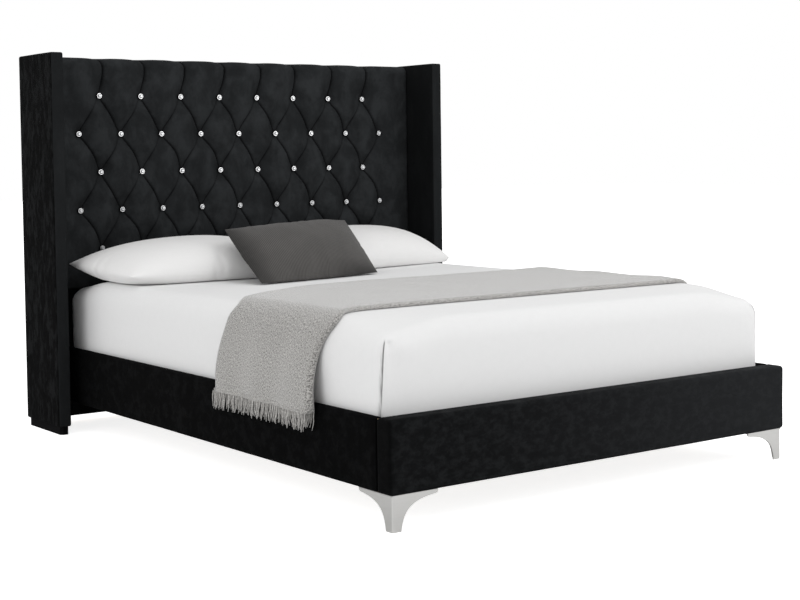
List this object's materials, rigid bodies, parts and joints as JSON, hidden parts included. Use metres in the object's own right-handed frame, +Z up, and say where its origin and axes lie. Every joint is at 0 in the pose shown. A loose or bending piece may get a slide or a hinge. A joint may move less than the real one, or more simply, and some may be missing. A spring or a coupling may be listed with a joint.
{
  "type": "upholstered bed",
  "caption": "Winged velvet bed with a diamond-tufted headboard, crystal buttons, padded rails on metal corner legs, slatted base, mattress and bedding.",
  "frame": {"origin": "middle of the bed's footprint, on the floor it stands on", "axes": "+Z up, +Y towards the headboard, +X to the right seen from the foot of the bed"},
  "size_m": [1.77, 2.224, 1.39],
  "materials": {
    "velvet": "black crushed velvet, padded",
    "plywood": "raw plywood",
    "pine": "planed pine",
    "back_cloth": "black non-woven cloth on board",
    "button_metal": "polished cup",
    "crystal": "clear faceted crystal",
    "foot_black": "black plastic block",
    "zinc_steel": "zinc plated",
    "leg_black": "black powder coat",
    "cap_plastic": "black cap",
    "webbing": "woven webbing",
    "leg_metal": "satin, lightly brushed",
    "ticking": "quilted mattress cloth",
    "white_sheet": "white stretch cotton",
    "white_cotton": "white cotton pillowcase",
    "grey_weave": "dark grey ribbed weave",
    "grey_wool": "light grey brushed wool"
  },
  "bodies": {
    "bed": {"headboard_pad": "velvet", "headboard_lower_cover": "velvet", "headboard_panel": "plywood", "headboard_stiles": "pine", "headboard_rails": "pine", "headboard_back_cover": "back_cloth", "button_cups": "button_metal", "button_crystals": "crystal", "wing_left_cover": "velvet", "wing_right_cover": "velvet", "wing_left_board": "plywood", "wing_right_board": "plywood", "wing_feet": "foot_black", "wing_bolts": "zinc_steel", "side_rail_left_board": "plywood", "side_rail_right_board": "plywood", "side_rail_left_cover": "velvet", "side_rail_right_cover": "velvet", "foot_rail_boards": "plywood", "foot_rail_blocks": "pine", "foot_rail_cover": "velvet", "slat_ledgers": "pine", "ledger_screws": "zinc_steel", "centre_beam": "pine", "beam_brackets": "zinc_steel", "bracket_screws": "zinc_steel", "centre_legs": "leg_black", "centre_leg_caps": "cap_plastic", "slats": "pine", "slat_straps": "webbing", "corner_leg_left": "leg_metal", "corner_leg_right": "leg_metal", "leg_screws": "zinc_steel", "corner_brackets": "zinc_steel", "bracket_bolts": "zinc_steel", "bracket_nuts": "zinc_steel"},
    "mattress": {"mattress": "ticking", "fitted_sheet": "white_sheet"},
    "throw": {"throw": "grey_wool", "throw_fringe": "grey_wool"},
    "pillow_left": {"pillow_left": "white_cotton"},
    "pillow_right": {"pillow_right": "white_cotton"},
    "scatter_cushion": {"scatter_cushion": "grey_weave"}
  },
  "joints": [
    {"name": "mattress_lift", "type": "slide", "parent": "bed", "child": "mattress", "axis": [0, 0, 1], "range_m": [0, 0.4]},
    {"name": "throw_lift", "type": "slide", "parent": "mattress", "child": "throw", "axis": [0, 0, 1], "range_m": [0, 0.4]},
    {"name": "pillow_left_lift", "type": "slide", "parent": "mattress", "child": "pillow_left", "axis": [0, 0, 1], "range_m": [0, 0.3]},
    {"name": "pillow_right_lift", "type": "slide", "parent": "mattress", "child": "pillow_right", "axis": [0, 0, 1], "range_m": [0, 0.3]},
    {"name": "cushion_lift", "type": "slide", "parent": "pillow_left", "child": "scatter_cushion", "axis": [0, 0, 1], "range_m": [0, 0.3]}
  ],
  "couplings": [
    {"joint": "pillow_right_lift", "follows": "pillow_left_lift", "ratio": 1}
  ]
}
